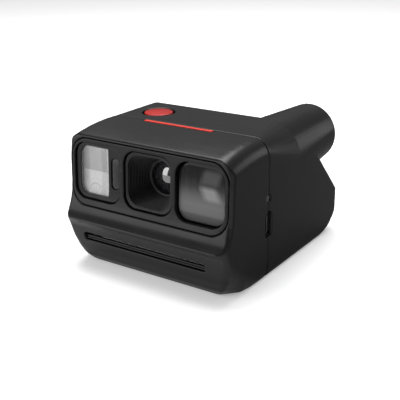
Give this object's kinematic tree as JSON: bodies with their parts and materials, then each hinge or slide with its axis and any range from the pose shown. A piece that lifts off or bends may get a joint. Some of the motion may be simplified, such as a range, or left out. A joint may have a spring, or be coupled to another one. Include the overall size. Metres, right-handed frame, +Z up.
{
  "type": "instant camera",
  "caption": "Compact instant camera: black clamshell body, windowed front panel, red shutter button, film exit slot, geared rollers, hinged film door and round rear viewfinder tube.",
  "frame": {"origin": "middle of the bounding box at the level of the flat underside, which the camera rests on", "axes": "+Z up, -Y towards the lens and the film exit slot, +X towards the side with the viewfinder tube and the charging socket"},
  "size_m": [0.0838, 0.105, 0.062],
  "materials": {
    "shell": "fine-textured matte charcoal black moulded plastic",
    "panel": "satin black moulded plastic",
    "inner": "matt light-absorbing black plastic",
    "accent": "single-colour red inlay, satin",
    "button_red": "bright red, satin gloss",
    "button_dark": "soft-touch dark grey",
    "clear": "clear moulded lens plastic",
    "smoked": "dark glossy window",
    "optic": "coated optical glass",
    "reflector": "bright formed metal reflector",
    "mirror": "front-surface mirror",
    "steel": "plain steel",
    "blackened": "blackened thin sheet",
    "gear": "natural acetal",
    "board": "green solder mask",
    "cell": "wrapped battery cell",
    "capacitor": "sleeved capacitor can",
    "display": "dark display panel",
    "led": "frosted light pipe",
    "switch": "tactile switch body"
  },
  "bodies": {
    "camera_body": {"front_shell": "shell", "rear_shell": "shell", "front_panel": "panel", "accent_strip": "accent", "counter_window": "smoked", "counter_display": "display", "flash_bezel": "panel", "flash_window": "clear", "light_sensor_window": "smoked", "flash_reflector": "reflector", "flash_tube": "optic", "flash_capacitor": "capacitor", "lens_baffle": "inner", "lens_barrel": "inner", "front_lens": "optic", "rear_lens": "optic", "shutter_plate": "blackened", "blade_pivot_left": "steel", "blade_pivot_right": "steel", "mirror_frame": "inner", "mirror": "mirror", "viewfinder_window": "optic", "viewfinder_hood": "inner", "viewfinder_objective": "optic", "viewfinder_barrel": "inner", "eyepiece_ring": "inner", "eyepiece_lens": "optic", "shutter_switch": "switch", "usb_port": "steel", "port_surround": "panel", "charging_led": "led", "door_hinge_pin": "steel", "film_chamber": "inner", "roller_bracket_left": "steel", "roller_bracket_right": "steel", "idler_axle": "steel", "drive_motor": "steel", "battery": "cell", "main_board": "board", "chassis_screw_1": "steel", "chassis_screw_2": "steel", "chassis_screw_3": "steel", "chassis_screw_4": "steel"},
    "shutter_button": {"shutter_button": "button_red"},
    "power_button": {"power_button": "button_dark"},
    "flash_button": {"flash_button": "button_dark"},
    "film_door": {"film_door": "shell"},
    "door_latch": {"door_latch": "button_dark"},
    "upper_roller": {"upper_roller": "steel", "upper_roller_gear": "gear"},
    "lower_roller": {"lower_roller": "steel", "lower_roller_gear": "gear"},
    "idler_gear": {"idler_gear": "gear"},
    "motor_rotor": {"motor_pinion": "gear", "motor_shaft": "steel"},
    "pick_arm": {"pick_arm": "steel"},
    "shutter_blade_left": {"shutter_blade_left": "blackened"},
    "shutter_blade_right": {"shutter_blade_right": "blackened"}
  },
  "joints": [
    {"name": "shutter_press", "type": "slide", "parent": "camera_body", "child": "shutter_button", "axis": [0, 0, -1], "range_m": [0, 0.001], "stiffness_N_per_m": 900, "springref_m": -0.0008},
    {"name": "power_press", "type": "slide", "parent": "camera_body", "child": "power_button", "axis": [0, -0.7162, -0.6979], "range_m": [0, 0.0006], "stiffness_N_per_m": 900, "springref_m": -0.0008},
    {"name": "flash_press", "type": "slide", "parent": "camera_body", "child": "flash_button", "axis": [0, -0.7162, -0.6979], "range_m": [0, 0.0006], "stiffness_N_per_m": 900, "springref_m": -0.0008},
    {"name": "door_hinge", "type": "hinge", "parent": "camera_body", "child": "film_door", "pos_m": [0, -0.0362, 0.0026], "axis": [-1, 0, 0], "range_deg": [0, 85]},
    {"name": "latch_slide", "type": "slide", "parent": "camera_body", "child": "door_latch", "axis": [0, 1, 0], "range_m": [0, 0.003], "stiffness_N_per_m": 200, "springref_m": -0.002},
    {"name": "upper_roller_spin", "type": "hinge", "parent": "camera_body", "child": "upper_roller", "pos_m": [0, -0.0404, 0.0165], "axis": [1, 0, 0], "continuous": true},
    {"name": "lower_roller_spin", "type": "hinge", "parent": "camera_body", "child": "lower_roller", "pos_m": [0, -0.0404, 0.0111], "axis": [1, 0, 0], "continuous": true},
    {"name": "idler_spin", "type": "hinge", "parent": "camera_body", "child": "idler_gear", "pos_m": [0, -0.03563, 0.02127], "axis": [1, 0, 0], "continuous": true},
    {"name": "motor_spin", "type": "hinge", "parent": "camera_body", "child": "motor_rotor", "pos_m": [0, -0.03023, 0.02532], "axis": [1, 0, 0], "continuous": true},
    {"name": "pick_slide", "type": "slide", "parent": "camera_body", "child": "pick_arm", "axis": [0, -1, 0], "range_m": [0, 0.007], "stiffness_N_per_m": 60, "springref_m": -0.002},
    {"name": "blade_right_swing", "type": "hinge", "parent": "camera_body", "child": "shutter_blade_right", "pos_m": [0.0084, -0.02115, 0.0302], "axis": [0, 1, 0], "range_deg": [0, 40], "stiffness_Nm_per_rad": 0.0005, "springref_deg": -11.46},
    {"name": "blade_left_swing", "type": "hinge", "parent": "camera_body", "child": "shutter_blade_left", "pos_m": [-0.0066, -0.02195, 0.0302], "axis": [0, -1, 0], "range_deg": [0, 40]}
  ],
  "couplings": [
    {"joint": "lower_roller_spin", "follows": "upper_roller_spin", "ratio": -1},
    {"joint": "idler_spin", "follows": "upper_roller_spin", "ratio": -0.66667},
    {"joint": "motor_spin", "follows": "upper_roller_spin", "ratio": 1},
    {"joint": "blade_left_swing", "follows": "blade_right_swing", "ratio": 1}
  ]
}
